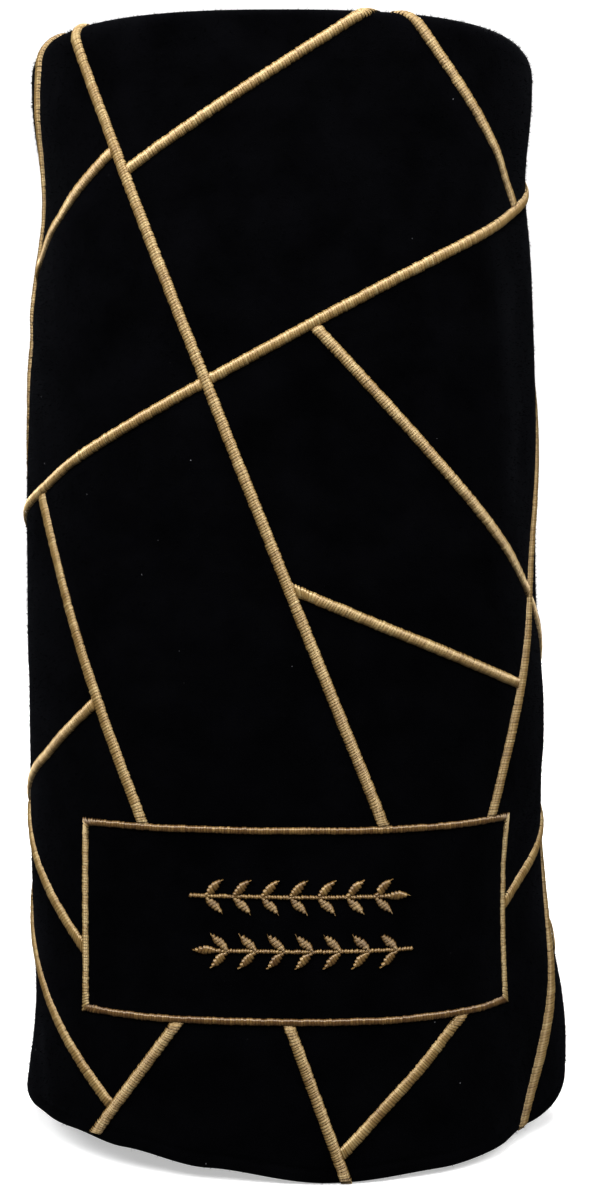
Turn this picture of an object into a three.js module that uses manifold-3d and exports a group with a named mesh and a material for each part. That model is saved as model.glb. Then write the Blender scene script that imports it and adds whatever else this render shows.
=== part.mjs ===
// A velvet mantle for a scroll on two rollers, as it hangs: one length of cloth wraps round an oval and is
// sewn to a stiff oval lid, which has a hole for each roller's stave. Gold lines in padded satin stitch run
// over the cloth, and a narrow gold frame low on the front holds two leaf sprigs.
//
// Millimetres, +Z up. The front faces -Y and +X is the viewer's right. The origin is the middle of the
// lid's underside, where the rollers carry the mantle.
//
// Places on the cloth are given as on the flat cut: s is the distance round from the middle of the front,
// to the viewer's right, and h is the height above the lowest point of the front hem.

import * as THREE from "three";
import { mergeVertices } from "three/addons/utils/BufferGeometryUtils.js";
import Module from "manifold-3d";

// Driving dimensions of the cover
const WIDTH = 376;
const DEPTH = 206;
const HEIGHT = 800;
const FULLNESS = 2.5; // exponent of the oval: 2 is an ellipse, more is squarer
const CLOTH = 2; // velvet with its backing
const LID = 3; // the stiffened oval
const SEAM_GAP = 0.3; // between pieces that are sewn together
const FRONT_SHOULDER = 7; // the cloth's roll over the lid's edge, in front and behind
const END_SHOULDER = 24; // and at the two ends

// Stave holes in the lid
const STAVE_HOLE = 50;
const STAVE_SPACING = 176;

// Gold embroidery
const LINE_WIDTH = 7.4;
const LINE_CROWN = 1.9; // height of the padded stitch over its own underside
const LINE_SHOULDER = 0.6; // where along the half width the flank turns into the crown
const CUT_TURN = 18; // a slanting end cut squares up over this length
const LIFT = 0.9; // underside of the stitch over the cloth's true curve
const FRAME_WIDTH = 4;
const FRAME_CROWN = 1.4;
const FRAME = { left: -140, right: 166, bottom: 110, top: 240 };

// Leaf sprigs inside the frame, one above the other. Each is a level stem with pairs of slanting leaves and
// a leaf at its tip, and grows `towards` the viewer's right (1) or left (-1).
const SPRIGS = {
  upper: { middle: 13, h: 195, towards: 1 },
  lower: { middle: 13, h: 158, towards: -1 },
};
const SPRIG_LENGTH = 150; // stem and tip leaf
const STEM_WIDTH = 2.6;
const LEAF_PAIRS = 7;
const LEAF_LENGTH = 16;
const LEAF_WIDTH = 6.4;
const LEAF_SLANT = THREE.MathUtils.degToRad(44);
const LEAF_TIP = 0.6; // width of a leaf's blunt ends
const LEAF_RINGS = 5;
const SPRIG_CROWN = 1.5;

// Fineness of the solids
const COLUMNS = 72;
const WALL_ROWS = 23;
const ROW_CROWDING = 0.45; // rows lie closer near the hem and the lid: 0 is even, 1 the most
const SHOULDER_ROWS = 4;
const OVAL_SAMPLES = 1440;
const STEP_ROUND = 9.5; // longest step of a gold line round the cloth
const STEP_UP = 20; // up it
const STEP_ROLL = 4; // and over its roll at the top
const HOLE_SIDES = 32;

const HEM_Z = LID - HEIGHT;

// Soft folds. Each swells (out > 0) or hollows (out < 0) the cloth around the place (at, mid), over about
// `wide` mm round and `tall` mm up, and drifts sideways by `lean` mm for each 100 mm of height.
const FOLDS = [
  { name: "front swell", at: 50, out: 5, wide: 95, mid: 420, tall: 420, lean: 0 },
  { name: "left pinch under the lid", at: -236, out: -12, wide: 62, mid: 694, tall: 66, lean: 0 },
  { name: "left belly", at: -238, out: 4, wide: 62, mid: 430, tall: 150, lean: 0 },
  { name: "left hollow low down", at: -225, out: -4, wide: 45, mid: 90, tall: 60, lean: 0 },
  { name: "left hem kick", at: -240, out: 6, wide: 42, mid: 10, tall: 60, lean: 0 },
  { name: "left front groove", at: -178, out: -4, wide: 26, mid: 470, tall: 190, lean: -5 },
  { name: "right pinch under the lid", at: 232, out: -8, wide: 58, mid: 722, tall: 62, lean: 0 },
  { name: "right front ridge", at: 144, out: 3.5, wide: 30, mid: 600, tall: 170, lean: -7 },
  { name: "right front groove", at: 188, out: -7, wide: 28, mid: 560, tall: 170, lean: -7 },
  { name: "right swell", at: 232, out: 4, wide: 62, mid: 500, tall: 130, lean: 0 },
  { name: "right belly", at: 236, out: 9, wide: 58, mid: 300, tall: 80, lean: 0 },
  { name: "hollow beside the frame", at: 178, out: -6, wide: 30, mid: 170, tall: 80, lean: 0 },
  { name: "right flare", at: 244, out: 28, wide: 46, mid: 50, tall: 120, lean: 4 },
  { name: "crease before the flare", at: 193, out: -8, wide: 21, mid: 0, tall: 70, lean: 6 },
  { name: "back right roll", at: 340, out: 7, wide: 38, mid: 200, tall: 330, lean: 3 },
  { name: "back right groove", at: 402, out: -8, wide: 30, mid: 260, tall: 300, lean: -2 },
  { name: "back middle roll", at: 470, out: 6, wide: 40, mid: 120, tall: 340, lean: 2 },
  { name: "back left groove", at: -420, out: -8, wide: 32, mid: 180, tall: 320, lean: 3 },
  { name: "back left roll", at: -345, out: 8, wide: 40, mid: 60, tall: 330, lean: -3 },
];
const LID_HOLD = 110; // the lid holds the cloth to the oval over this height below it

// How far the hem hangs above its lowest point, round the cloth
const HEM = [
  { at: 30, rise: 0 },
  { at: 110, rise: 4 },
  { at: 165, rise: 8 },
  { at: 195, rise: 11 },
  { at: 245, rise: 30 },
  { at: 330, rise: 16 },
  { at: 484, rise: 6 },
  { at: 628, rise: 14 },
  { at: 723, rise: 24 },
  { at: 818, rise: 23 },
  { at: 858, rise: 18 },
  { at: 918, rise: 9 },
];

// Gold lines, straight on the flat cut. `starts` and `ends` say what each end meets: the lid's seam, the
// hem, the frame, or another line. A line passes beneath the line in `under`, and is parted there.
const LINES = {
  long_steep: { from: [-150, 790], to: [70, 240], starts: "seam", ends: "frame" },
  right_rise: { from: [317, 790], to: [150, 240], starts: "seam", ends: "frame" },
  helix: { from: [300, 735], to: [-620, 238], starts: "right_rise", ends: "right_fall", under: "long_steep" },
  short_drop: { from: [95, 790], to: [185, 673], starts: "seam", ends: "helix" },
  right_fall: { from: [20, 584], to: [562, 0], starts: "helix", ends: "hem", under: "right_rise" },
  top_rise: { from: [-110, 690], to: [45, 790], starts: "long_steep", ends: "seam" },
  mid_cross: { from: [4, 405], to: [178, 332], starts: "long_steep", ends: "right_rise" },
  left_fall: { from: [-118, 706], to: [-488, 409], starts: "long_steep", ends: "back_drop", under: "edge" },
  edge: { from: [-188, 790], to: [-250, 431], starts: "seam", ends: "helix" },
  left_strut: { from: [-190, 470], to: [-95, 240], starts: "helix", ends: "frame" },
  low_left_fall: { from: [-130, 325], to: [-446, 57], starts: "left_strut", ends: "right_fall" },
  left_tie: { from: [-140, 150], to: [-230, 240], starts: "frame", ends: "low_left_fall" },
  right_tie: { from: [166, 175], to: [305, 277], starts: "frame", ends: "right_fall" },
  hem_left_slant: { from: [-70, 110], to: [-150, 0], starts: "frame", ends: "hem" },
  hem_left_tie: { from: [-118, 44], to: [-272, 205], starts: "hem_left_slant", ends: "low_left_fall" },
  hem_vee_left: { from: [4, 110], to: [44, 0], starts: "frame", ends: "hem" },
  hem_vee_right: { from: [128, 110], to: [38, 17], starts: "frame", ends: "hem_vee_left" },
  hem_right_slant: { from: [250, 233], to: [185, 0], starts: "right_tie", ends: "hem" },
  hem_right_tie: { from: [227, 150], to: [345, 0], starts: "hem_right_slant", ends: "hem" },
  back_drop: { from: [560, 790], to: [450, 292], starts: "seam", ends: "helix" },
  back_fall: { from: [275, 652], to: [484, 446], starts: "right_rise", ends: "back_drop" },
  back_short_drop: { from: [650, 790], to: [578, 490], starts: "seam", ends: "left_fall" },
};

const VELVET = new THREE.MeshStandardMaterial({ color: 0x0b0b0d, roughness: 0.95, metalness: 0 });
const GOLD_THREAD = new THREE.MeshStandardMaterial({ color: 0xbd9a60, roughness: 0.5, metalness: 0 });

// The oval

// A point of the oval with these half widths, at an angle from the front towards the viewer's right
function ovalPoint(halfWidth, halfDepth, angle) {
  const across = Math.sin(angle);
  const toFront = Math.cos(angle);
  const power = Math.abs(across / halfWidth) ** FULLNESS + Math.abs(toFront / halfDepth) ** FULLNESS;
  const radius = power ** (-1 / FULLNESS);
  return new THREE.Vector2(radius * across, -radius * toFront);
}

// Distance round the oval at evenly spaced angles, from the middle of the front
const ovalLengths = [0];
for (let i = 1; i <= OVAL_SAMPLES; i += 1) {
  const before = ovalPoint(WIDTH / 2, DEPTH / 2, (2 * Math.PI * (i - 1)) / OVAL_SAMPLES);
  const here = ovalPoint(WIDTH / 2, DEPTH / 2, (2 * Math.PI * i) / OVAL_SAMPLES);
  ovalLengths.push(ovalLengths[i - 1] + here.distanceTo(before));
}
const GIRTH = ovalLengths[OVAL_SAMPLES];

const wrapped = (s) => ((s % GIRTH) + GIRTH) % GIRTH;

// The angle on the oval at a distance s round it
function angleAt(s) {
  const wanted = wrapped(s);
  let low = 0;
  let high = OVAL_SAMPLES;
  while (high - low > 1) {
    const middle = (low + high) >> 1;
    if (ovalLengths[middle] <= wanted) low = middle;
    else high = middle;
  }
  const share = (wanted - ovalLengths[low]) / (ovalLengths[high] - ovalLengths[low]);
  return (2 * Math.PI * (low + share)) / OVAL_SAMPLES;
}

// The cloth

function foldsAt(s, h) {
  let out = 0;
  for (const fold of FOLDS) {
    const drift = (fold.lean * (h - fold.mid)) / 100;
    const apart = wrapped(s - fold.at - drift + GIRTH / 2) - GIRTH / 2;
    out += fold.out * Math.exp(-((apart / fold.wide) ** 2) - ((h - fold.mid) / fold.tall) ** 2);
  }
  return out;
}

// The hem's height, eased between the places in its table
function hemAt(s) {
  const last = HEM[HEM.length - 1];
  const around = [{ ...last, at: last.at - GIRTH }, ...HEM, { ...HEM[0], at: HEM[0].at + GIRTH }];
  const next = around.findIndex(({ at }) => at > wrapped(s));
  const [before, after] = [around[next - 1], around[next]];
  const share = THREE.MathUtils.smoothstep(wrapped(s), before.at, after.at);
  return THREE.MathUtils.lerp(before.rise, after.rise, share);
}

// What the cloth does at one place round the oval: its foot on the oval, its outward direction, its seam on
// the lid, the size of its roll over the lid's edge, and the heights of its hem and of the roll's start
function columnAt(s) {
  const angle = angleAt(s);
  const turn = (2 * Math.PI) / OVAL_SAMPLES;
  const foot = ovalPoint(WIDTH / 2, DEPTH / 2, angle);
  const along = ovalPoint(WIDTH / 2, DEPTH / 2, angle + turn)
    .sub(ovalPoint(WIDTH / 2, DEPTH / 2, angle - turn))
    .normalize();
  const outward = new THREE.Vector2(along.y, -along.x);
  const seam = ovalPoint(WIDTH / 2 - END_SHOULDER, DEPTH / 2 - FRONT_SHOULDER, angle);
  const roll = foot.distanceTo(seam);
  return { foot, outward, seam, roll, hem: hemAt(s), rollStart: HEIGHT - roll };
}

// A point over the cloth's outer face, `lift` mm off it
function clothPoint(s, h, lift) {
  const { foot, outward, seam, roll, rollStart } = columnAt(s);
  const hold = THREE.MathUtils.smoothstep(rollStart - h, 0, LID_HOLD);
  const out = foldsAt(s, h) * hold + lift;
  if (h <= rollStart) {
    return new THREE.Vector3(foot.x + outward.x * out, foot.y + outward.y * out, h + HEM_Z);
  }
  const rolled = Math.min((h - rollStart) / roll, Math.PI / 2);
  const level = seam.clone().lerp(foot, Math.cos(rolled)).addScaledVector(outward, lift * Math.cos(rolled));
  const z = rollStart + roll * Math.sin(rolled) + lift * Math.sin(rolled);
  return new THREE.Vector3(level.x, level.y, z + HEM_Z);
}

const seamHeight = (s) => columnAt(s).rollStart + (columnAt(s).roll * Math.PI) / 2;

// Solids from rings of points

// A closed body through rings that all have the same number of points: a loop, or a rod with flat ends
function skin(rings, isLoop) {
  const around = rings[0].length;
  const positions = rings.flat().flatMap((p) => [p.x, p.y, p.z]);
  const faces = [];
  const spans = isLoop ? rings.length : rings.length - 1;
  for (let i = 0; i < spans; i += 1) {
    const here = i * around;
    const next = ((i + 1) % rings.length) * around;
    for (let j = 0; j < around; j += 1) {
      const k = (j + 1) % around;
      faces.push(here + j, next + j, next + k, here + j, next + k, here + k);
    }
  }
  if (!isLoop) {
    const last = (rings.length - 1) * around;
    for (let j = 1; j < around - 1; j += 1) {
      faces.push(0, j, j + 1, last, last + j + 1, last + j);
    }
  }
  const geometry = new THREE.BufferGeometry();
  geometry.setAttribute("position", new THREE.Float32BufferAttribute(positions, 3));
  geometry.setIndex(faces);
  geometry.computeVertexNormals();
  return geometry;
}

function named(name, geometry, material) {
  const mesh = new THREE.Mesh(geometry, material);
  mesh.name = name;
  return mesh;
}

// The wrap of velvet: its outer face from hem to seam, then its inner face back down
function velvetWrap() {
  const rings = [];
  for (let i = 0; i < COLUMNS; i += 1) {
    const s = (GIRTH * i) / COLUMNS;
    const { hem, rollStart, roll } = columnAt(s);
    const heights = [];
    for (let j = 0; j <= WALL_ROWS; j += 1) {
      const even = j / WALL_ROWS;
      const crowded = even - (ROW_CROWDING * Math.sin(2 * Math.PI * even)) / (2 * Math.PI);
      heights.push(hem + (rollStart - hem) * crowded);
    }
    for (let j = 1; j <= SHOULDER_ROWS; j += 1) {
      heights.push(rollStart + (roll * Math.PI * j) / (2 * SHOULDER_ROWS));
    }
    const outer = heights.map((h) => clothPoint(s, h, 0));
    const inner = heights.map((h) => clothPoint(s, h, -CLOTH));
    rings.push([...outer, ...inner.reverse()]);
  }
  return named("velvet_wrap", skin(rings, true), VELVET);
}

// The stiff oval that fills the top, level with the cloth's seam, with a hole for each stave
function lid() {
  const halfWidth = WIDTH / 2 - END_SHOULDER - SEAM_GAP;
  const halfDepth = DEPTH / 2 - FRONT_SHOULDER - SEAM_GAP;
  const outline = [];
  for (let i = 0; i < COLUMNS; i += 1) {
    outline.push(ovalPoint(halfWidth, halfDepth, angleAt((GIRTH * i) / COLUMNS)));
  }
  const shape = new THREE.Shape(outline);
  for (const side of [-1, 1]) {
    const hole = new THREE.Path();
    hole.absarc((side * STAVE_SPACING) / 2, 0, STAVE_HOLE / 2, 0, 2 * Math.PI, true);
    shape.holes.push(hole);
  }
  const settings = { depth: LID, bevelEnabled: false, curveSegments: HOLE_SIDES };
  return named("lid", new THREE.ExtrudeGeometry(shape, settings), VELVET);
}

// The gold embroidery

// A ring across a stitched line, from the right and left edges of its footprint on the flat cut
function stitchRing(right, left, crown) {
  const across = (share, lift) => {
    const at = right.clone().lerp(left, (1 + share) / 2);
    return clothPoint(at.x, at.y, lift);
  };
  const flank = LIFT + crown * (1 - LINE_SHOULDER ** 4);
  return [
    across(-1, LIFT),
    across(-LINE_SHOULDER, flank),
    across(0, LIFT + crown),
    across(LINE_SHOULDER, flank),
    across(1, LIFT),
  ];
}

// Where the straight line through a along `heading` meets the straight line through b along `cut`
function crossing(a, heading, b, cut) {
  const gap = b.clone().sub(a);
  return a.clone().addScaledVector(heading, gap.cross(cut) / heading.cross(cut));
}

const flat = ([s, h]) => new THREE.Vector2(s, h);
const headingOf = (line) => flat(line.to).sub(flat(line.from)).normalize();
const leftOf = (heading) => new THREE.Vector2(-heading.y, heading.x);

// The line's turn round the oval that brings it nearest to a place
function nearestTurn(line, place) {
  const heading = headingOf(line);
  const start = flat(line.from);
  const offsets = [-1, 0, 1].map((turn) => new THREE.Vector2(start.x + turn * GIRTH, start.y));
  const away = (from) => Math.abs(place.clone().sub(from).cross(heading));
  return offsets.reduce((best, next) => (away(next) < away(best) ? next : best));
}

// The edge along which a line's end is cut to clear what it meets: a point and a direction on the flat cut
function endCut(meets, end, inside) {
  const levelCut = (h) => ({ point: flat([end.x, h]), along: flat([1, 0]) });
  const uprightCut = (s) => ({ point: flat([s, end.y]), along: flat([0, 1]) });
  if (meets === "seam") return levelCut(seamHeight(end.x) - SEAM_GAP);
  if (meets === "hem") return levelCut(columnAt(end.x).hem + SEAM_GAP);
  if (meets === "frame") {
    const clear = SEAM_GAP + FRAME_WIDTH / 2;
    if (inside.y > FRAME.top) return levelCut(FRAME.top + clear);
    if (inside.y < FRAME.bottom) return levelCut(FRAME.bottom - clear);
    return inside.x < FRAME.left ? uprightCut(FRAME.left - clear) : uprightCut(FRAME.right + clear);
  }
  const along = headingOf(LINES[meets]);
  const point = nearestTurn(LINES[meets], end);
  const side = Math.sign(along.cross(inside.clone().sub(point)));
  point.addScaledVector(leftOf(along), side * (LINE_WIDTH / 2 + SEAM_GAP));
  return { point, along };
}

// Shares of the way from one place on the flat cut to another at which a line's rings stand
function stations(from, to) {
  const run = to.clone().sub(from);
  const shares = [0];
  let share = 0;
  while (share < 1) {
    const at = from.clone().lerp(to, share);
    const stepUp = at.y > columnAt(at.x).rollStart ? STEP_ROLL : STEP_UP;
    share += 1 / Math.max(1, Math.abs(run.x) / STEP_ROUND, Math.abs(run.y) / stepUp);
    shares.push(Math.min(share, 1));
  }
  return shares;
}

// One unbroken stretch of a line between two end cuts. Its rings stand square to it, and turn along the
// cuts within CUT_TURN of them.
function stitchedStretch(name, start, heading, firstCut, lastCut) {
  const toRight = leftOf(heading).multiplyScalar(-LINE_WIDTH / 2);
  const reach = (offset, cut) => {
    const edge = start.clone().add(offset);
    return crossing(edge, heading, cut.point, cut.along).sub(edge).dot(heading);
  };
  const ends = [firstCut, lastCut].map((cut) => {
    const right = reach(toRight, cut);
    const left = reach(toRight.clone().negate(), cut);
    return { at: (right + left) / 2, skew: (right - left) / 2 };
  });
  const [first, last] = ends;
  const along = (distance) => start.clone().addScaledVector(heading, distance);
  const rings = stations(along(first.at), along(last.at)).map((share) => {
    const distance = THREE.MathUtils.lerp(first.at, last.at, share);
    const turned = ends.map(({ at, skew }) => skew * Math.max(0, 1 - Math.abs(distance - at) / CUT_TURN));
    const skew = turned[0] + turned[1];
    return stitchRing(along(distance + skew).add(toRight), along(distance - skew).sub(toRight), LINE_CROWN);
  });
  return named(name, skin(rings, false), GOLD_THREAD);
}

// A line's stretches: one, or two where it passes beneath another line
function stitchedLine(name) {
  const line = LINES[name];
  const start = flat(line.from);
  const end = flat(line.to);
  const heading = headingOf(line);
  const middle = start.clone().lerp(end, 0.5);
  const firstCut = endCut(line.starts, start, middle);
  const lastCut = endCut(line.ends, end, middle);
  if (!line.under) {
    return [stitchedStretch(`gold_${name}`, start, heading, firstCut, lastCut)];
  }
  const over = LINES[line.under];
  const parting = crossing(start, heading, flat(over.from), headingOf(over));
  return [
    stitchedStretch(`gold_${name}_1`, start, heading, firstCut, endCut(line.under, parting, start)),
    stitchedStretch(`gold_${name}_2`, start, heading, endCut(line.under, parting, end), lastCut),
  ];
}

// The frame's four sides in one closed run, mitred at the corners
function goldFrame() {
  const half = FRAME_WIDTH / 2;
  const { left, right, bottom, top } = FRAME;
  const corners = [
    [left, bottom, -1, -1],
    [right, bottom, 1, -1],
    [right, top, 1, 1],
    [left, top, -1, 1],
  ].map(([s, h, outS, outH]) => ({
    outer: new THREE.Vector2(s + half * outS, h + half * outH),
    inner: new THREE.Vector2(s - half * outS, h - half * outH),
  }));
  const rings = [];
  corners.forEach((here, i) => {
    const next = corners[(i + 1) % corners.length];
    for (const share of stations(here.outer, next.outer).slice(0, -1)) {
      const outer = here.outer.clone().lerp(next.outer, share);
      const inner = here.inner.clone().lerp(next.inner, share);
      rings.push(stitchRing(outer, inner, FRAME_CROWN));
    }
  });
  return named("gold_frame", skin(rings, true), GOLD_THREAD);
}

// A leaf along the flat cut from its base, as wide in the middle as LEAF_WIDTH
function leaf(base, angle) {
  const heading = new THREE.Vector2(Math.cos(angle), Math.sin(angle));
  const toRight = leftOf(heading).negate();
  const rings = [];
  for (let i = 0; i < LEAF_RINGS; i += 1) {
    const share = i / (LEAF_RINGS - 1);
    const half = (LEAF_TIP + (LEAF_WIDTH - LEAF_TIP) * Math.sin(Math.PI * share)) / 2;
    const middle = base.clone().addScaledVector(heading, LEAF_LENGTH * share);
    const right = middle.clone().addScaledVector(toRight, half);
    const left = middle.clone().addScaledVector(toRight, -half);
    rings.push(stitchRing(right, left, SPRIG_CROWN * Math.sqrt((2 * half) / LEAF_WIDTH)));
  }
  return skin(rings, false);
}

// The stem of a sprig, from its foot to the base of its tip leaf
function stem(foot, tip) {
  const toRight = leftOf(tip.clone().sub(foot).normalize()).multiplyScalar(-STEM_WIDTH / 2);
  const rings = stations(foot, tip).map((share) => {
    const middle = foot.clone().lerp(tip, share);
    return stitchRing(middle.clone().add(toRight), middle.clone().sub(toRight), SPRIG_CROWN * 0.8);
  });
  return skin(rings, false);
}

function joined(geometries) {
  const bodies = geometries.map((geometry) => {
    geometry.deleteAttribute("normal");
    const merged = mergeVertices(geometry);
    const vertProperties = new Float32Array(merged.getAttribute("position").array);
    const triVerts = new Uint32Array(merged.getIndex().array);
    return new wasm.Manifold(new wasm.Mesh({ numProp: 3, vertProperties, triVerts }));
  });
  const mesh = bodies.reduce((whole, body) => whole.add(body)).getMesh();
  const geometry = new THREE.BufferGeometry();
  geometry.setAttribute("position", new THREE.Float32BufferAttribute(mesh.vertProperties, 3));
  geometry.setIndex([...mesh.triVerts]);
  geometry.computeVertexNormals();
  return geometry;
}

function leafSprig(name) {
  const { middle, h, towards } = SPRIGS[name];
  const stemLength = SPRIG_LENGTH - LEAF_LENGTH;
  const foot = flat([middle - (towards * SPRIG_LENGTH) / 2, h]);
  const tip = flat([foot.x + towards * stemLength, h]);
  const forward = towards > 0 ? 0 : Math.PI;
  const pieces = [stem(foot, tip), leaf(tip.clone().lerp(foot, STEM_WIDTH / stemLength), forward)];
  for (let i = 0; i < LEAF_PAIRS; i += 1) {
    const base = foot.clone().lerp(tip, (i + 0.5) / LEAF_PAIRS);
    pieces.push(leaf(base, forward + LEAF_SLANT), leaf(base, forward - LEAF_SLANT));
  }
  return named(`gold_sprig_${name}`, joined(pieces), GOLD_THREAD);
}

const wasm = await Module();
wasm.setup();

const mantle = new THREE.Group();
mantle.add(velvetWrap(), lid(), goldFrame());
mantle.add(...Object.keys(LINES).flatMap(stitchedLine), ...Object.keys(SPRIGS).map(leafSprig));

export default mantle;
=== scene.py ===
"""The looks of a torah mantle: black velvet hung from a stiff lid, with padded gold satin stitch.

Places on the cloth are millimetres on its flat cut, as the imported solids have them: s is the distance round
from the middle of the front, to the viewer's right, and h the height above the lowest point of the hem. The
function cloth() turns them into metres in the part's frame, where the front faces -Y and +Z is up.
"""

import math
from collections import namedtuple

import bpy
import numpy as np
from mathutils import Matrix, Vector


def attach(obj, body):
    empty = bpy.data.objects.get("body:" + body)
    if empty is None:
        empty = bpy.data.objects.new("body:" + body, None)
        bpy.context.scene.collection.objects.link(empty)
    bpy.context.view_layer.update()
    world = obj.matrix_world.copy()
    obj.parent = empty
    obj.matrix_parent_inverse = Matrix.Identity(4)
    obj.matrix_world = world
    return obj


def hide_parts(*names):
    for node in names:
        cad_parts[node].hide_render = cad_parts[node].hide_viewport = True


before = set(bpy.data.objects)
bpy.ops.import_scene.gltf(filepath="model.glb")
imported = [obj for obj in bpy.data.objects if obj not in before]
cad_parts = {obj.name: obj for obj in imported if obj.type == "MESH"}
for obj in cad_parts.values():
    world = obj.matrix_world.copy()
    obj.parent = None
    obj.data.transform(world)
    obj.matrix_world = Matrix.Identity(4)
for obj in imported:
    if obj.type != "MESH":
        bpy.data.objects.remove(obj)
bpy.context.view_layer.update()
rng = np.random.default_rng(20)

METRE = 0.001  # a millimetre in metres

# The cover, as in the solids
WIDTH, DEPTH, HEIGHT = 376, 206, 800
FULLNESS = 2.5  # exponent of the oval, where 2 is an ellipse
CLOTH, LID = 2.0, 3.0  # thickness of each
SEAM_GAP = 0.3
FRONT_SHOULDER, END_SHOULDER = 7, 24  # the cloth's roll over the lid's edge, at the front and at the ends
LID_HOLD = 110  # how far below the lid the folds fade in
STAVE_HOLE, STAVE_SPACING = 50, 176
HEM_Z = LID - HEIGHT

# Folds of the hanging cloth; lean is the sideways run in 100 mm of height
Fold = namedtuple("Fold", "at out wide mid tall lean")
FOLDS = [
    Fold(50, 5, 95, 420, 420, 0),  # front swell
    Fold(-236, -12, 62, 694, 66, 0),  # left pinch under the lid
    Fold(-238, 4, 62, 430, 150, 0),  # left belly
    Fold(-225, -4, 45, 90, 60, 0),  # left hollow low down
    Fold(-240, 6, 42, 10, 60, 0),  # left hem kick
    Fold(-178, -4, 26, 470, 190, -5),  # left front groove
    Fold(232, -8, 58, 722, 62, 0),  # right pinch under the lid
    Fold(144, 3.5, 30, 600, 170, -7),  # right front ridge
    Fold(188, -7, 28, 560, 170, -7),  # right front groove
    Fold(232, 4, 62, 500, 130, 0),  # right swell
    Fold(236, 9, 58, 300, 80, 0),  # right belly
    Fold(178, -6, 30, 170, 80, 0),  # hollow beside the frame
    Fold(244, 28, 46, 50, 120, 4),  # right flare
    Fold(193, -8, 21, 0, 70, 6),  # crease before the flare
    Fold(340, 7, 38, 200, 330, 3),  # back right roll
    Fold(402, -8, 30, 260, 300, -2),  # back right groove
    Fold(470, 6, 40, 120, 340, 2),  # back middle roll
    Fold(-420, -8, 32, 180, 320, 3),  # back left groove
    Fold(-345, 8, 40, 60, 330, -3),  # back left roll
]

# How far the hem hangs above its lowest point: place round the cloth, rise
HEM = [
    (30, 0), (110, 4), (165, 8), (195, 11), (245, 30), (330, 16),
    (484, 6), (628, 14), (723, 24), (818, 23), (858, 18), (918, 9),
]

# Shallow creases that only the fine cloth has, as straight runs on the flat cut
Crease = namedtuple("Crease", "start end out wide")
CREASES = [
    Crease((-130, 722), (40, 708), -1.2, 13),
    Crease((40, 708), (165, 726), -1.2, 13),
    Crease((-205, 742), (-150, 640), -1.6, 12),
    Crease((205, 752), (150, 660), -1.4, 12),
    Crease((-232, 600), (-190, 520), -1.8, 10),
    Crease((-215, 330), (-150, 250), -1.4, 12),
    Crease((214, 560), (168, 450), -1.6, 12),
    Crease((222, 262), (172, 205), -2.0, 10),
    Crease((150, 60), (176, 0), -2.2, 11),
    Crease((-206, 96), (-180, 10), -1.8, 11),
]
CREASE_END = 0.15  # how far along half a wave a crease's height starts and stops, as a share
RIPPLE, RIPPLE_COUNT = 0.5, 12  # height of the cloth's all-over unevenness, and the waves that make it
RIPPLE_ROUND, RIPPLE_UP = (4, 18), (1, 9)  # range of their number round the cloth and up it
RIPPLE_SHARE = (0.3, 1)  # range of each one's share of the height
HEM_BAND = (2, 18)  # heights between which the rows above the hem are close together
HEM_STITCH, STITCH_DIP, STITCH_WIDE = 9, 0.7, 1.6  # the hem's sewing: height, depth and width
INNER_BAND = 6  # where the inner face's rows start above the hem

# Gold embroidery, placed as in the solids and a little wider, for the thread's loose edges
LINE_WIDTH, LINE_CROWN = 7.8, 1.9
FRAME_WIDTH, FRAME_CROWN = 5.0, 1.3
CUT_TURN = 18  # length over which stitches turn to a line's end cut
LIFT = 0.3  # how far the gold lies off the velvet
PANEL = {"left": -140, "right": 166, "bottom": 110, "top": 240}

Line = namedtuple("Line", "start end starts ends under", defaults=[None])
LINES = {
    "long_steep": Line((-150, 790), (70, 240), "seam", "frame"),
    "right_rise": Line((317, 790), (150, 240), "seam", "frame"),
    "helix": Line((300, 735), (-620, 238), "right_rise", "right_fall", "long_steep"),
    "short_drop": Line((95, 790), (185, 673), "seam", "helix"),
    "right_fall": Line((20, 584), (562, 0), "helix", "hem", "right_rise"),
    "top_rise": Line((-110, 690), (45, 790), "long_steep", "seam"),
    "mid_cross": Line((4, 405), (178, 332), "long_steep", "right_rise"),
    "left_fall": Line((-118, 706), (-488, 409), "long_steep", "back_drop", "edge"),
    "edge": Line((-188, 790), (-250, 431), "seam", "helix"),
    "left_strut": Line((-190, 470), (-95, 240), "helix", "frame"),
    "low_left_fall": Line((-130, 325), (-446, 57), "left_strut", "right_fall"),
    "left_tie": Line((-140, 150), (-230, 240), "frame", "low_left_fall"),
    "right_tie": Line((166, 175), (305, 277), "frame", "right_fall"),
    "hem_left_slant": Line((-70, 110), (-150, 0), "frame", "hem"),
    "hem_left_tie": Line((-118, 44), (-272, 205), "hem_left_slant", "low_left_fall"),
    "hem_vee_left": Line((4, 110), (44, 0), "frame", "hem"),
    "hem_vee_right": Line((128, 110), (38, 17), "frame", "hem_vee_left"),
    "hem_right_slant": Line((250, 233), (185, 0), "right_tie", "hem"),
    "hem_right_tie": Line((227, 150), (345, 0), "hem_right_slant", "hem"),
    "back_drop": Line((560, 790), (450, 292), "seam", "helix"),
    "back_fall": Line((275, 652), (484, 446), "right_rise", "back_drop"),
    "back_short_drop": Line((650, 790), (578, 490), "seam", "left_fall"),
}

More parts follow.
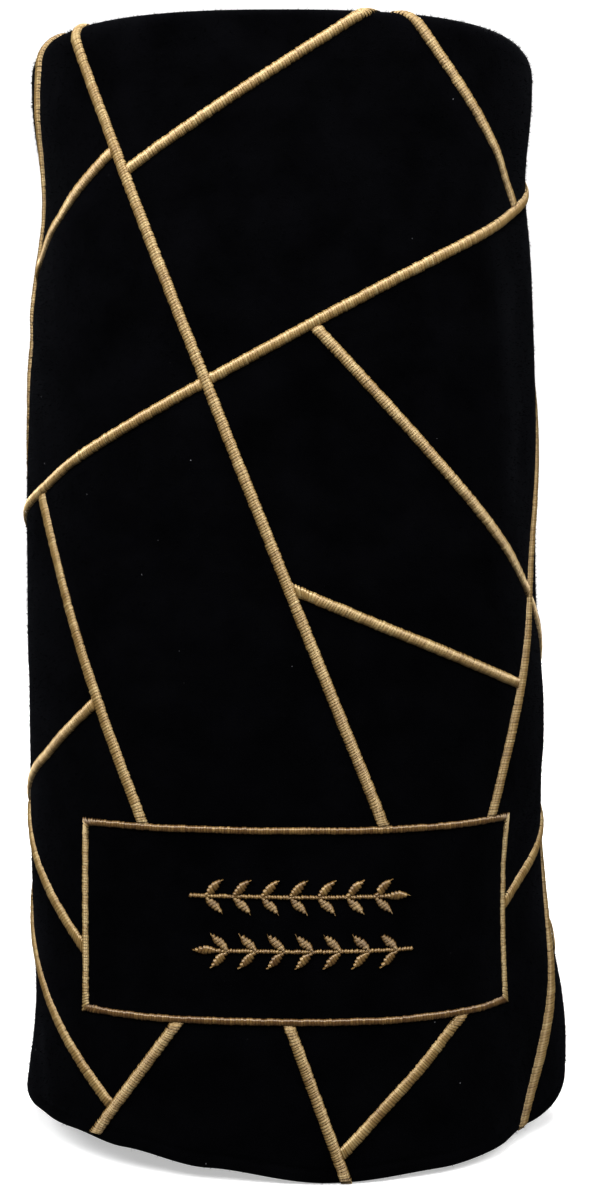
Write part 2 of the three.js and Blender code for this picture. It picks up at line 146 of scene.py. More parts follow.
Sprig = namedtuple("Sprig", "middle h towards")
SPRIGS = {"upper": Sprig(13, 195, 1), "lower": Sprig(13, 158, -1)}
SPRIG_LENGTH, STEM_WIDTH, SPRIG_CROWN = 150, 2.6, 1.2
LEAF_PAIRS, LEAF_LENGTH, LEAF_WIDTH, LEAF_TIP = 7, 16, 6.4, 0.6
LEAF_SLANT = math.radians(44)
LEAF_OVERLAP = 2  # how far the last leaf lies over the stem's end
STEM_CROWN = 0.8  # a stem's height as a share of its leaves' height
STEM_STITCH_SLANT, LEAF_STITCH_SLANT = 0.5, 0.35  # how far their stitches lean along them

# Thread of the satin stitch
THREAD_PITCH = 1.9
THREAD_UNEVEN = 0.22  # how far the pitch varies, as a share
THREAD_ROUND = 0.22  # how far a thread's middle stands over its sides, as a share of the pitch
THREAD_WIDTH = np.array([-0.56, -0.34, 0, 0.34, 0.56])  # points across a thread, as shares of the pitch
THREAD_ARC = np.radians(np.linspace(-90, 90, 7))  # points of one stitch from edge to edge
THREAD_SHADE = 0.42  # how much darker a thread is where it meets the next
THREAD_FULL = 0.8  # power that flattens the stitch's arc on top
EDGE_WANDER = 0.38  # unevenness of the stitched edge,
EDGE_RANGE = (-1, 0.5)  # more inwards than outwards
Vary = namedtuple("Vary", "drift reach stray")  # a slow wander, over so many stitches, and each one's own
CROWN_VARIES = Vary(0.03, 5, 0.03)
TONE_VARIES = Vary(0.05, 6, 0.1)
STITCH_SLANT = 0.32  # how far a stitch leans along an upright or level line, as a share of the line's width
STRANDS = 4  # strands twisted in a thread
STRAND_APART = 10  # how far apart two threads' strands are in the noise that makes them
TUCK = 0.6  # how far a line's end runs in under the line it meets
# What a line's end slopes down to, as a share of its height, and over what length, by what it meets
EndSlope = namedtuple("EndSlope", "stand length")
END_SLOPES = {"seam": EndSlope(0, 14), "hem": EndSlope(0, 4), "frame": EndSlope(0.5, 4)}
LINE_SLOPE = EndSlope(0.5, 4)  # at another line
LINE_TONE, SPRIG_TONE = 0.84, 0.48
FRAME_PAINTED_SHEEN_SHADE = {"bottom": 0.2, "right": 1.0, "top": 0.3, "left": 1.0}  # in turn: painted sheen pales the upright sides and painted shade darkens the level ones
SINK = 0.4  # how far the stitch's edges sink into the pile


# The cloth's surface


def oval(half_width, half_depth, angle):
    """Points of the oval at angles from the front towards the viewer's right."""
    across, to_front = np.sin(angle), np.cos(angle)
    power = np.abs(across / half_width) ** FULLNESS + np.abs(to_front / half_depth) ** FULLNESS
    radius = power ** (-1 / FULLNESS)
    return np.stack([radius * across, -radius * to_front], axis=-1)


def wall(angle):
    """The oval below the lid."""
    return oval(WIDTH / 2, DEPTH / 2, angle)


def seam_oval(angle, inset=0):
    """The smaller oval where the cloth meets the lid."""
    return oval(WIDTH / 2 - END_SHOULDER - inset, DEPTH / 2 - FRONT_SHOULDER - inset, angle)


OVAL_SIDES = 1440
OVAL_TURN = 2 * math.pi / OVAL_SIDES
OVAL_ANGLES = np.linspace(0, 2 * math.pi, OVAL_SIDES + 1)
OVAL_STEPS = np.linalg.norm(np.diff(wall(OVAL_ANGLES), axis=0), axis=1)
OVAL_LENGTHS = np.concatenate([[0], np.cumsum(OVAL_STEPS)])
GIRTH = OVAL_LENGTHS[-1]

Ripple = namedtuple("Ripple", "round_waves up_waves phase share")
RIPPLES = [
    Ripple(
        int(rng.integers(*RIPPLE_ROUND)),
        rng.uniform(*RIPPLE_UP),
        rng.uniform(0, 2 * math.pi),
        rng.uniform(*RIPPLE_SHARE),
    )
    for _ in range(RIPPLE_COUNT)
]


def unit(vectors):
    vectors = np.asarray(vectors, float)
    return vectors / np.maximum(np.linalg.norm(vectors, axis=-1, keepdims=True), 1e-9)


def smoothstep(x, low, high):
    share = np.clip((x - low) / (high - low), 0, 1)
    return share * share * (3 - 2 * share)


def round_gap(s, at):
    """The signed distance round the cloth from a place to s, the short way."""
    return np.mod(s - at + GIRTH / 2, GIRTH) - GIRTH / 2


def hem_at(s):
    """The hem's height, eased between the places in its table."""
    places = np.array([HEM[-1][0] - GIRTH] + [at for at, _ in HEM] + [HEM[0][0] + GIRTH])
    rises = np.array([HEM[-1][1]] + [rise for _, rise in HEM] + [HEM[0][1]], dtype=float)
    around = np.mod(s, GIRTH)
    after = np.searchsorted(places, around, side="right")
    share = smoothstep(around, places[after - 1], places[after])
    return rises[after - 1] + (rises[after] - rises[after - 1]) * share


def swell(s, h):
    """How far folds, creases and ripples stand the cloth out from the oval."""
    out = np.zeros(np.broadcast(s, h).shape)
    for fold in FOLDS:
        apart = round_gap(s, fold.at + fold.lean * (h - fold.mid) / 100)
        out += fold.out * np.exp(-((apart / fold.wide) ** 2) - ((h - fold.mid) / fold.tall) ** 2)
    for crease in CREASES:
        run_s, run_h = crease.end[0] - crease.start[0], crease.end[1] - crease.start[1]
        from_s, from_h = round_gap(s, crease.start[0]), h - crease.start[1]
        share = np.clip((from_s * run_s + from_h * run_h) / (run_s**2 + run_h**2), 0, 1)
        apart = (from_s - share * run_s) ** 2 + (from_h - share * run_h) ** 2
        fade = np.sin(math.pi * (CREASE_END + (1 - 2 * CREASE_END) * share))
        out += crease.out * fade * np.exp(-apart / crease.wide**2)
    for ripple in RIPPLES:
        waves = ripple.round_waves * s / GIRTH + ripple.up_waves * h / HEIGHT
        out += RIPPLE * ripple.share * np.sin(2 * math.pi * waves + ripple.phase) / math.sqrt(RIPPLE_COUNT)
    return out


def angle_at(s):
    return np.interp(np.mod(s, GIRTH), OVAL_LENGTHS, OVAL_ANGLES)


def roll_at(s):
    """The size of the cloth's roll over the lid's edge."""
    angle = angle_at(s)
    return np.linalg.norm(wall(angle) - seam_oval(angle), axis=-1)


def cloth(s, h, lift=0.0):
    """Points in metres, `lift` mm off the cloth's outer face."""
    s, h, lift = np.broadcast_arrays(np.asarray(s, float), np.asarray(h, float), np.asarray(lift, float))
    angle = angle_at(s)
    foot, seam = wall(angle), seam_oval(angle)
    along = unit(wall(angle + OVAL_TURN) - wall(angle - OVAL_TURN))
    outward = np.stack([along[..., 1], -along[..., 0]], axis=-1)
    roll = roll_at(s)
    roll_start = HEIGHT - roll
    rolled = np.clip((h - roll_start) / roll, 0, math.pi / 2)
    out = swell(s, h) * smoothstep(roll_start - h, 0, LID_HOLD) + lift
    level = seam + (foot - seam + outward * out[..., None]) * np.cos(rolled)[..., None]
    z = np.minimum(h, roll_start) + (roll + lift) * np.sin(rolled) + HEM_Z
    return np.concatenate([level, z[..., None]], axis=-1) * METRE


# Materials


def new_material(name):
    material = bpy.data.materials.new(name)
    material.use_nodes = True
    return material, material.node_tree, material.node_tree.nodes["Principled BSDF"]


def add_node(tree, kind, inputs=None, **settings):
    """A node with its settings, and its inputs set to values or linked from other nodes' sockets."""
    node = tree.nodes.new(kind)
    for name, value in settings.items():
        setattr(node, name, value)
    for name, value in (inputs or {}).items():
        if isinstance(value, bpy.types.NodeSocket):
            tree.links.new(value, node.inputs[name])
        else:
            node.inputs[name].default_value = value
    return node


def noise(tree, place, scale, detail=2.0, roughness=0.5):
    inputs = {"Vector": place, "Scale": scale, "Detail": detail, "Roughness": roughness}
    return add_node(tree, "ShaderNodeTexNoise", inputs).outputs["Fac"]


def ramp(tree, factor, *stops):
    """A colour ramp over stops of (position, colour)."""
    node = add_node(tree, "ShaderNodeValToRGB", {"Fac": factor})
    elements = node.color_ramp.elements
    while len(elements) < len(stops):
        elements.new(0.5)
    for element, (position, colour) in zip(elements, stops):
        element.position = position
        element.color = (*colour, 1)
    return node.outputs["Color"]


def velvet_material():
    """Black pile: dark to look into, paler at a slant, brushed unevenly, with a little lint."""
    material, tree, shader = new_material("velvet")
    place = add_node(tree, "ShaderNodeTexCoord").outputs["Object"]
    brushed = noise(tree, place, 26, 3, 0.55)
    pile = noise(tree, place, 1300, 2, 0.6)
    colour = ramp(tree, brushed, (0.3, (0.0006, 0.0006, 0.0008)), (0.72, (0.0016, 0.0016, 0.0021)))
    lint = add_node(tree, "ShaderNodeTexVoronoi", {"Vector": place, "Scale": 62.0})
    speck = ramp(tree, lint.outputs["Distance"], (0.022, (1, 1, 1)), (0.034, (0, 0, 0)))
    rare = ramp(tree, noise(tree, place, 19, 1), (0.56, (0, 0, 0)), (0.6, (1, 1, 1)))
    shown = add_node(tree, "ShaderNodeMath", {0: speck, 1: rare}, operation="MULTIPLY").outputs[0]
    mix = add_node(tree, "ShaderNodeMix", {"Factor": shown}, data_type="RGBA")
    tree.links.new(colour, mix.inputs["A"])
    mix.inputs["B"].default_value = (0.16, 0.16, 0.17, 1)
    tree.links.new(mix.outputs["Result"], shader.inputs["Base Color"])
    nap = add_node(tree, "ShaderNodeBump", {"Height": brushed, "Strength": 0.5, "Distance": 0.004})
    fuzz = add_node(
        tree,
        "ShaderNodeBump",
        {"Height": pile, "Strength": 0.7, "Distance": 0.0007, "Normal": nap.outputs["Normal"]},
    )
    tree.links.new(fuzz.outputs["Normal"], shader.inputs["Normal"])
    shader.inputs["Roughness"].default_value = 0.95
    shader.inputs["Specular IOR Level"].default_value = 0.005
    shader.inputs["Sheen Weight"].default_value = 0.014
    shader.inputs["Sheen Roughness"].default_value = 0.42
    shader.inputs["Sheen Tint"].default_value = (0.78, 0.84, 1.0, 1)
    return material


def thread_material():
    """Gold satin thread: each stitch has its own tone, kept with the mesh; the tone also carries painted
    shade where threads meet, and painted sheen and shade on the frame's sides.
    """
    material, tree, shader = new_material("gold_thread")
    tone = add_node(tree, "ShaderNodeAttribute", attribute_name="tone").outputs["Fac"]
    colour = ramp(
        tree,
        tone,
        (0.0, (0.12, 0.05, 0.01)),
        (0.45, (0.31, 0.175, 0.05)),
        (0.8, (0.45, 0.285, 0.095)),
        (1.0, (0.58, 0.42, 0.18)),
    )
    tree.links.new(colour, shader.inputs["Base Color"])
    strand = add_node(tree, "ShaderNodeAttribute", attribute_name="strand").outputs["Fac"]
    along_strands = {"W": strand, "Scale": 1.0, "Detail": 1.0}
    twist = add_node(tree, "ShaderNodeTexNoise", along_strands, noise_dimensions="1D").outputs["Fac"]
    bump = add_node(tree, "ShaderNodeBump", {"Height": twist, "Strength": 0.4, "Distance": 0.0003})
    tree.links.new(bump.outputs["Normal"], shader.inputs["Normal"])
    grain = add_node(tree, "ShaderNodeAttribute", attribute_name="grain").outputs["Vector"]
    tree.links.new(grain, shader.inputs["Tangent"])
    shader.inputs["Anisotropic"].default_value = 1.0
    shader.inputs["Metallic"].default_value = 0.36
    shader.inputs["Roughness"].default_value = 0.63
    shader.inputs["IOR"].default_value = 2.0
    shader.inputs["Specular IOR Level"].default_value = 1.0
    shader.inputs["Specular Tint"].default_value = (1.0, 0.95, 0.8, 1)
    return material


VELVET = velvet_material()
GOLD = thread_material()


# Meshes


def add_object(name, data):
    thing = bpy.data.objects.new(name, data)
    bpy.context.scene.collection.objects.link(thing)
    return thing


def smooth_mesh(name, points, faces):
    mesh = bpy.data.meshes.new(name)
    mesh.from_pydata(points.reshape(-1, 3).tolist(), [], faces.reshape(-1, faces.shape[-1]).tolist())
    mesh.shade_smooth()
    return mesh


def add_piece(name, mesh, material, nodes):
    """A mesh in the part's frame that stands for the CAD nodes named."""
    mesh.materials.clear()
    mesh.materials.append(material)
    piece = add_object(name, mesh)
    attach(piece, "root")
    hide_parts(*nodes)
    return piece


def grid_faces(rows, columns, closed_rows=False, closed_columns=False):
    """Quads of a grid of points, row by row."""
    row = np.arange(rows if closed_rows else rows - 1)[:, None]
    column = np.arange(columns if closed_columns else columns - 1)[None, :]
    next_row, next_column = (row + 1) % rows, (column + 1) % columns
    corners = [(row, column), (row, next_column), (next_row, next_column), (next_row, column)]
    return np.stack([r * columns + c for r, c in corners], axis=-1)


# The velvet wrap and the lid

COLUMNS = 330
HEM_ROWS, WALL_ROWS, ROLL_ROWS = 13, 162, 9
INNER_ROLL_ROWS, INNER_ROWS = 7, 52
HEM_ROUND = np.radians([-90, -60, -30, 0, 30, 60, 90])


def wrap_profile():
    """Rows of the wrap's closed section from its hem up the outer face and down the inner one, as the share
    of the wall's height, height over the hem, share of the roll, and lift."""
    rows = []
    for angle in HEM_ROUND:
        rows.append((0, CLOTH / 2 * (1 - math.cos(angle)), 0, CLOTH / 2 * (math.sin(angle) - 1)))
    for step in np.linspace(*HEM_BAND, HEM_ROWS):
        dip = STITCH_DIP * math.exp(-(((step - HEM_STITCH) / STITCH_WIDE) ** 2))
        rows.append((0, step, 0, -dip))
    for share in np.linspace(0, 1, WALL_ROWS)[1:]:
        rows.append((share, HEM_BAND[1] * (1 - share), 0, 0))
    for share in np.linspace(0, 1, ROLL_ROWS)[1:]:
        rows.append((1, 0, share, 0))
    for share in np.linspace(1, 0, INNER_ROLL_ROWS):
        rows.append((1, 0, share, -CLOTH))
    for share in np.linspace(1, 0, INNER_ROWS)[1:-1]:
        rows.append((share, INNER_BAND * (1 - share), 0, -CLOTH))
    return np.array(rows)


def make_wrap():
    s = np.arange(COLUMNS) * GIRTH / COLUMNS
    share, over, rolled, lift = wrap_profile()[:, :, None].transpose(1, 0, 2)
    hem, roll = hem_at(s), roll_at(s)
    h = hem + share * (HEIGHT - roll - hem) + over + rolled * roll * math.pi / 2
    points = cloth(s[None, :], h, lift)
    faces = grid_faces(len(h), COLUMNS, closed_rows=True, closed_columns=True)
    mesh = smooth_mesh("velvet_wrap_cloth", points, faces)
    return add_piece("velvet_wrap_cloth", mesh, VELVET, ["velvet_wrap"])


PILE_FIBRES = 90000
PILE_LENGTH = (0.8, 2.2)
PILE_WIDTH = 0.5
PILE_FOOT = -0.3  # the fibres' feet below the cloth's face
PILE_NAP, PILE_STRAY = -0.3, 0.5  # how far fibres lean downwards and to any side, as shares of their length


def make_pile():
    """Loose fibres of the pile that soften the outline, each a sliver leaning down with the nap."""
    s = rng.uniform(0, GIRTH, PILE_FIBRES)
    hem = hem_at(s)
    h = hem + rng.uniform(0, 1, PILE_FIBRES) * (HEIGHT + (math.pi / 2 - 1) * roll_at(s) - hem)
    length = rng.uniform(*PILE_LENGTH, PILE_FIBRES)
    turn = rng.uniform(0, math.pi, PILE_FIBRES)
    wide_s, wide_h = np.cos(turn) * PILE_WIDTH / 2, np.sin(turn) * PILE_WIDTH / 2
    lean_s = rng.normal(0, PILE_STRAY, PILE_FIBRES)
    lean_h = rng.normal(PILE_NAP, PILE_STRAY, PILE_FIBRES)
    feet = [cloth(s + side * wide_s, h + side * wide_h, PILE_FOOT) for side in (-1, 1)]
    tips = cloth(s + lean_s * length, h + lean_h * length, length)
    points = np.stack([*feet, tips], axis=1)
    faces = np.arange(3 * PILE_FIBRES).reshape(-1, 3)
    mesh = smooth_mesh("velvet_wrap_pile", points, faces)
    return add_piece("velvet_wrap_pile", mesh, VELVET, ["velvet_wrap"])


LID_EDGE = 0.8  # rounding of the lid's edges
LID_EASE = 0.1  # a little more room at the seam than the solids have
LID_POINTS = 160  # points of the lid's outline and of each hole


def make_lid():
    """The stiff oval with its two holes, its edges rounded by the velvet drawn over them."""
    curve = bpy.data.curves.new("lid_outline", "CURVE")
    curve.dimensions = "2D"
    curve.fill_mode = "BOTH"
    curve.extrude = (LID / 2 - LID_EDGE) * METRE
    curve.bevel_depth = LID_EDGE * METRE
    curve.bevel_resolution = 3
    curve.offset = -LID_EDGE * METRE
    angles = np.linspace(0, 2 * math.pi, LID_POINTS + 1)[:-1]
    outline = seam_oval(angles, SEAM_GAP + LID_EASE)
    ring = STAVE_HOLE / 2 * np.stack([np.cos(angles), np.sin(angles)], axis=-1)
    holes = [ring + (side * STAVE_SPACING / 2, 0) for side in (-1, 1)]
    for loop in [outline, *holes]:
        spline = curve.splines.new("POLY")
        spline.points.add(len(loop) - 1)
        spline.use_cyclic_u = True
        for point, (x, y) in zip(spline.points, loop):
            point.co = (x * METRE, y * METRE, 0, 1)
    flat = add_object("lid_outline", curve)
    mesh = bpy.data.meshes.new_from_object(flat.evaluated_get(bpy.context.evaluated_depsgraph_get()))
    bpy.data.objects.remove(flat)
    points = np.empty(3 * len(mesh.vertices))
    mesh.vertices.foreach_get("co", points)
    mesh.vertices.foreach_set("co", (points.reshape(-1, 3) + (0, 0, LID / 2 * METRE)).ravel())
    return add_piece("lid_velvet", mesh, VELVET, ["lid"])


# The gold embroidery


def cross(a, b):
    return a[0] * b[1] - a[1] * b[0]


def heading_of(line):
    return unit(np.subtract(line.end, line.start))


def left_of(heading):
    return np.array([-heading[1], heading[0]])


def meeting(point, heading, other, cut):
    """Where the straight line through a point meets another, on the flat cut."""
    gap = np.subtract(other, point)
    return point + heading * cross(gap, cut) / cross(heading, cut)


def end_cut(meets, end, inside):
    """The edge along which a line's end is cut to clear what it meets: a point and a direction."""
    level, upright = np.array([1.0, 0.0]), np.array([0.0, 1.0])
    clear = FRAME_WIDTH / 2 - TUCK
    if meets == "seam":
        roll = roll_at(end[0])
        return np.array([end[0], HEIGHT - roll + roll * math.pi / 2 - SEAM_GAP]), level
    if meets == "hem":
        return np.array([end[0], hem_at(end[0]) + SEAM_GAP]), level
    if meets == "frame":
        if inside[1] > PANEL["top"]:
            return np.array([end[0], PANEL["top"] + clear]), level
        if inside[1] < PANEL["bottom"]:
            return np.array([end[0], PANEL["bottom"] - clear]), level
        if inside[0] < PANEL["left"]:
            return np.array([PANEL["left"] - clear, end[1]]), upright
        return np.array([PANEL["right"] + clear, end[1]]), upright
    other = LINES[meets]
    along = heading_of(other)
    turns = [np.add(other.start, (turn * GIRTH, 0)) for turn in (-1, 0, 1)]
    point = min(turns, key=lambda start: abs(cross(np.subtract(end, start), along)))
    side = math.copysign(1, cross(along, np.subtract(inside, point)))
    return point + left_of(along) * side * (LINE_WIDTH / 2 - TUCK), along


def varied(count, vary):
    """What differs from stitch to stitch: a slow random wander about 0, and each stitch's own share."""
    steps = rng.normal(size=count + 2 * vary.reach)
    window = np.hanning(2 * vary.reach + 1)
    drift = np.convolve(steps, window / np.linalg.norm(window), "valid")[:count]
    return vary.drift * drift + vary.stray * rng.normal(size=count)


def spaced(first, last):
    """Places of the stitches from first to last, unevenly a thread's pitch apart."""
    count = max(2, round((last - first) / THREAD_PITCH))
    steps = rng.uniform(1 - THREAD_UNEVEN, 1 + THREAD_UNEVEN, count - 1)
    share = np.concatenate([[0], np.cumsum(steps)]) / np.sum(steps)
    return first + (last - first) * share


def stitches(right, left, crown, tone, stand=1.0):
    """Points, faces, tones, strands and grain of threads laid side by side from right to left edge places on
    the flat cut. They stand to the share `stand` of their full height. The grain runs along the line, square
    to them."""
    count = len(right)
    across = unit(left - right)
    along = np.stack([across[:, 1], -across[:, 0]], axis=-1)
    steps = np.diff((right + left) / 2, axis=0)
    apart = np.abs(np.sum(steps * unit(along[1:] + along[:-1]), axis=1))
    room = (np.append(apart, apart[-1]) + np.insert(apart, 0, apart[0])) / 2
    right = right - across * (EDGE_WANDER * rng.uniform(*EDGE_RANGE, (count, 1)))
    left = left + across * (EDGE_WANDER * rng.uniform(*EDGE_RANGE, (count, 1)))
    share = (1 + np.sin(THREAD_ARC)) / 2
    rise = np.cos(THREAD_ARC) ** THREAD_FULL
    middle = right[:, None, :] + (left - right)[:, None, :] * share[None, :, None]
    side = np.maximum(room, THREAD_PITCH / 2)[:, None] * THREAD_WIDTH
    places = middle[:, None, :, :] + along[:, None, None, :] * side[:, :, None, None]
    full = crown * (1 + varied(count, CROWN_VARIES)) + LIFT + SINK
    gap = (THREAD_WIDTH / THREAD_WIDTH[-1]) ** 2
    thread = THREAD_ROUND * THREAD_PITCH * (1 - gap)
    height = full[:, None, None] * rise[None, None, :] + thread[None, :, None]
    order = np.arange(count)
    stands = np.interp(order[:, None] + THREAD_WIDTH, order, np.broadcast_to(stand, count))
    height = height * stands[:, :, None] - SINK
    points = cloth(places[..., 0], places[..., 1], height)
    strip = len(THREAD_WIDTH) * len(THREAD_ARC)
    faces = grid_faces(len(THREAD_WIDTH), len(THREAD_ARC))[None] + (order * strip)[:, None, None, None]
    own_tone = tone + varied(count, TONE_VARIES)
    # painted shade: each thread's tone darkens towards its edges, where it meets the next thread
    tones = own_tone[:, None, None] - THREAD_SHADE * gap[None, :, None] + np.zeros(len(share))
    strands = order[:, None] * STRAND_APART + STRANDS * THREAD_WIDTH
    strands = np.repeat(strands[:, :, None], len(share), axis=2)
    ahead = middle + along[:, None, :]
    grain = unit(cloth(ahead[..., 0], ahead[..., 1]) - cloth(middle[..., 0], middle[..., 1]))
    grain = np.broadcast_to(grain[:, None], points.shape)
    tones = np.clip(tones, 0, 1)
    return points.reshape(-1, 3), faces.reshape(-1, 4), tones.ravel(), strands.ravel(), grain.reshape(-1, 3)


def make_gold(name, runs, node):
    """One piece of stitched gold from runs of (points, faces, tones, strands, grain)."""
    points, faces, tones, strands, grain = zip(*runs)
    starts = np.cumsum([0] + [len(run) for run in points[:-1]])
    faces = np.concatenate([run + start for run, start in zip(faces, starts)])
    mesh = smooth_mesh(name, np.concatenate(points), faces)
    for attribute, values in (("tone", tones), ("strand", strands)):
        kept = mesh.attributes.new(attribute, "FLOAT", "POINT")
        kept.data.foreach_set("value", np.concatenate(values))
    kept = mesh.attributes.new("grain", "FLOAT_VECTOR", "POINT")
    kept.data.foreach_set("vector", np.concatenate(grain).ravel())
    return add_piece(name, mesh, GOLD, [node])


def stretch(start, heading, first_cut, last_cut, slopes):
    """The stitches of one unbroken stretch of a line. They slant across it, turn along its end cuts and slope
    down to a share of their height at its ends."""
    to_right = -left_of(heading) * LINE_WIDTH / 2

    def reach(offset, cut):
        edge = start + offset
        return np.dot(meeting(edge, heading, *cut) - edge, heading)

    ends = []
    for cut in (first_cut, last_cut):
        right, left = reach(to_right, cut), reach(-to_right, cut)
        ends.append(((right + left) / 2, (right - left) / 2))
    (first, _), (last, _) = ends
    distance = spaced(first, last)
    near = [np.maximum(0, 1 - np.abs(distance - at) / CUT_TURN) for at, _ in ends]
    skew = sum(turn * close for (_, turn), close in zip(ends, near))
    lean = STITCH_SLANT * (heading[1] ** 2 - heading[0] ** 2)
    skew = skew + lean * LINE_WIDTH / 2 * (1 - np.maximum(*near))
    right = start + to_right + (distance + skew)[:, None] * heading
    left = start - to_right + (distance - skew)[:, None] * heading
    stand = np.ones(len(distance))
    for (at, _), slope in zip(ends, slopes):
        rise = np.sin(math.pi / 2 * np.minimum(1, np.abs(distance - at) / slope.length)) ** 0.5
        stand *= slope.stand + (1 - slope.stand) * rise
    return stitches(right, left, LINE_CROWN, LINE_TONE, stand)


def make_line(name):
    """A line's pieces: one, or two where it passes beneath another line."""
    line = LINES[name]
    start, end, heading = np.array(line.start, float), np.array(line.end, float), heading_of(line)
    middle = (start + end) / 2
    first, last = end_cut(line.starts, start, middle), end_cut(line.ends, end, middle)
    first_slope, last_slope = (END_SLOPES.get(meets, LINE_SLOPE) for meets in (line.starts, line.ends))
    if not line.under:
        run = stretch(start, heading, first, last, (first_slope, last_slope))
        return [make_gold(f"{name}_stitch", [run], f"gold_{name}")]
    over = LINES[line.under]
    parting = meeting(start, heading, over.start, heading_of(over))
    before, after = end_cut(line.under, parting, start), end_cut(line.under, parting, end)
    runs = [
        stretch(start, heading, first, before, (first_slope, LINE_SLOPE)),
        stretch(start, heading, after, last, (LINE_SLOPE, last_slope)),
    ]
    return [make_gold(f"{name}_stitch_{i}", [run], f"gold_{name}_{i}") for i, run in enumerate(runs, 1)]


def make_frame():
    """The frame's four sides, their stitches turning to the mitre at each corner."""
    half = FRAME_WIDTH / 2
    corners = [("left", "bottom"), ("right", "bottom"), ("right", "top"), ("left", "top")]
    places = np.array([(PANEL[side], PANEL[edge]) for side, edge in corners], float)
    outward = np.sign(places - places.mean(axis=0))
    outer, inner = places + half * outward, places - half * outward
    runs = []
    # painted sheen and shade: each side of the frame gets its own tone by how its satin catches the light
    for i, tone in enumerate(FRAME_PAINTED_SHEEN_SHADE.values()):
        j = (i + 1) % len(places)
        length = np.linalg.norm(places[j] - places[i])
        share = spaced(0, length)[:, None] / length
        bend = np.minimum(1, np.minimum(share, 1 - share) * length / CUT_TURN)
        side = places[i] + (places[j] - places[i]) * share
        square = half * unit(left_of(places[j] - places[i]))
        mitred_outer = outer[i] + (outer[j] - outer[i]) * share
        mitred_inner = inner[i] + (inner[j] - inner[i]) * share
        right = mitred_outer + (side - square - mitred_outer) * bend
        left = mitred_inner + (side + square - mitred_inner) * bend
        runs.append(stitches(right, left, FRAME_CROWN, tone))
    return make_gold("frame_stitch", runs, "gold_frame")


def leaf_run(base, angle):
    """The stitches of a leaf, slanting back from its midrib."""
    heading = np.array([math.cos(angle), math.sin(angle)])
    share = spaced(0, LEAF_LENGTH)[:, None] / LEAF_LENGTH
    half = (LEAF_TIP + (LEAF_WIDTH - LEAF_TIP) * np.sin(math.pi * share)) / 2
    middle = base + heading * LEAF_LENGTH * share
    across = unit(left_of(heading) + LEAF_STITCH_SLANT * heading)
    return stitches(middle - across * half, middle + across * half, SPRIG_CROWN, SPRIG_TONE)


def make_sprig(name):
    sprig = SPRIGS[name]
    stem_length = SPRIG_LENGTH - LEAF_LENGTH
    foot = np.array([sprig.middle - sprig.towards * SPRIG_LENGTH / 2, sprig.h], float)
    tip = foot + (sprig.towards * stem_length, 0)
    forward = 0 if sprig.towards > 0 else math.pi
    share = spaced(0, stem_length)[:, None] / stem_length
    middle = foot + (tip - foot) * share
    half = np.array([STEM_STITCH_SLANT, sprig.towards]) * STEM_WIDTH / 2
    runs = [stitches(middle - half, middle + half, SPRIG_CROWN * STEM_CROWN, SPRIG_TONE)]
    runs.append(leaf_run(tip - (sprig.towards * LEAF_OVERLAP, 0), forward))
    for i in range(LEAF_PAIRS):
        base = foot + (tip - foot) * (i + 0.5) / LEAF_PAIRS
        runs += [leaf_run(base, forward + LEAF_SLANT), leaf_run(base, forward - LEAF_SLANT)]
    return make_gold(f"sprig_{name}_stitch", runs, f"gold_sprig_{name}")


# Camera, light and floor

PHOTO = (600, 1201)
CAMERA_DISTANCE = 0.950  # from the middle of the mantle
CAMERA_UP = 0.473  # above the front hem
HORIZON_ROW = 487  # the photo's row at the camera's height
MIDDLE_COLUMN = 282  # and its column in line with the mantle's middle
FRONT_SCALE = 1471  # photo pixels in a metre at the front of the mantle
WALL_AT, WALL_HEIGHT = 5.0, 6.0  # the backdrop round the mantle
SWEEP, SWEEP_POINTS = 1.5, 13  # its bend from floor to wall
BACKDROP_SIDES = 96
FLOOR_BELOW = 1  # the floor below the lowest hem, in millimetres
WORLD_GLOW = 0.1

Light = namedtuple("Light", "place aim size power")
LIGHTS = {
    "key": Light((-0.05, -1.1, 0.9), (0, 0, -0.4), 0.9, 31),
    "left": Light((-1.7, -0.8, 1.1), (0, 0, -0.45), 0.9, 44),
    "right": Light((1.8, -0.9, 1.1), (0, 0, -0.4), 0.9, 30),
    "back": Light((0.3, 1.7, 1.2), (0, 0, -0.4), 1.2, 80),
}


def make_camera():
    data = bpy.data.cameras.new("camera")
    data.sensor_width = 36
    data.lens = data.sensor_width * FRONT_SCALE * (CAMERA_DISTANCE - DEPTH / 2 * METRE) / PHOTO[1]
    data.shift_x = (PHOTO[0] / 2 - MIDDLE_COLUMN) / PHOTO[1]
    data.shift_y = (HORIZON_ROW - PHOTO[1] / 2) / PHOTO[1]
    camera = add_object("camera", data)
    camera.location = (0, -CAMERA_DISTANCE, HEM_Z * METRE + CAMERA_UP)
    camera.rotation_euler = (math.pi / 2, 0, 0)
    bpy.context.scene.camera = camera


def make_light(name):
    light = LIGHTS[name]
    data = bpy.data.lights.new(name, "AREA")
    data.size = light.size
    data.energy = light.power
    lamp = add_object(name, data)
    lamp.location = light.place
    lamp.rotation_euler = (Vector(light.aim) - Vector(light.place)).to_track_quat("-Z", "Y").to_euler()


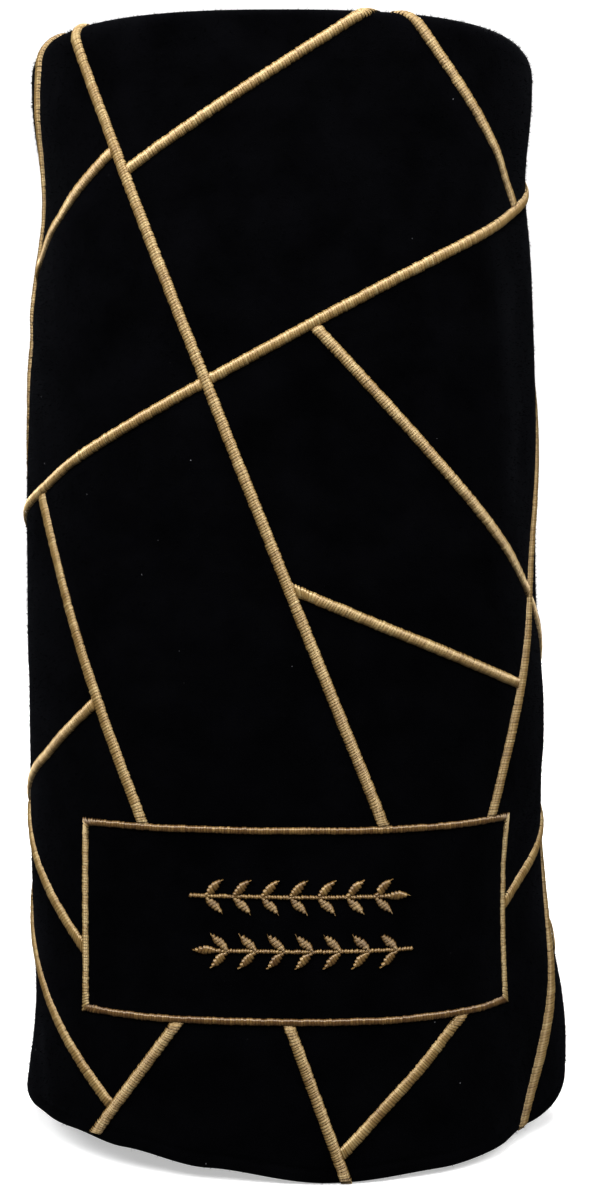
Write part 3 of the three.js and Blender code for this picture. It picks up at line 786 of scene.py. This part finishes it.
def make_backdrop():
    """A pale round floor that sweeps up into a wall on all sides, with a glow that evens it out."""
    material, tree, shader = new_material("backdrop")
    place = add_node(tree, "ShaderNodeTexCoord").outputs["Object"]
    pale = ramp(tree, noise(tree, place, 3), (0, (0.88, 0.88, 0.88)), (1, (0.92, 0.92, 0.92)))
    tree.links.new(pale, shader.inputs["Base Color"])
    shader.inputs["Roughness"].default_value = 0.9
    away = add_node(tree, "ShaderNodeVectorMath", {0: place}, operation="LENGTH").outputs["Value"]
    spread = add_node(tree, "ShaderNodeMapRange", {"Value": away, "From Max": WALL_AT}).outputs["Result"]
    glow = ramp(tree, spread, (0.15, (0.45, 0.45, 0.45)), (0.55, (0.95, 0.95, 0.95)))
    tree.links.new(glow, shader.inputs["Emission Color"])
    shader.inputs["Emission Strength"].default_value = 1.0
    bend = np.linspace(0, math.pi / 2, SWEEP_POINTS)
    radius = np.concatenate([[0], WALL_AT + SWEEP * (np.sin(bend) - 1), [WALL_AT]])
    level = np.concatenate([[0], SWEEP * (1 - np.cos(bend)), [WALL_HEIGHT]])
    level += (HEM_Z - FLOOR_BELOW) * METRE
    turn = np.linspace(0, 2 * math.pi, BACKDROP_SIDES + 1)[:-1]
    ring = np.stack([np.cos(turn), np.sin(turn), np.zeros_like(turn)], axis=-1)
    points = radius[:, None, None] * ring + level[:, None, None] * np.array([0, 0, 1])
    mesh = smooth_mesh("backdrop", points, grid_faces(len(radius), len(turn), closed_columns=True))
    mesh.materials.append(material)
    backdrop = add_object("backdrop", mesh)
    backdrop.visible_diffuse = False
    backdrop.visible_glossy = False
    backdrop.visible_shadow = False


def make_studio():
    scene = bpy.context.scene
    scene.view_settings.view_transform = "Standard"
    world = bpy.data.worlds.new("studio")
    world.use_nodes = True
    sky = world.node_tree.nodes["Background"]
    sky.inputs["Color"].default_value = (1, 1, 1, 1)
    sky.inputs["Strength"].default_value = WORLD_GLOW
    scene.world = world
    for name in LIGHTS:
        make_light(name)
    make_backdrop()


make_camera()
make_studio()
wrap = make_wrap()
pile = make_pile()
make_lid()
gold = [piece for name in LINES for piece in make_line(name)]
gold += [make_frame()] + [make_sprig(name) for name in SPRIGS]
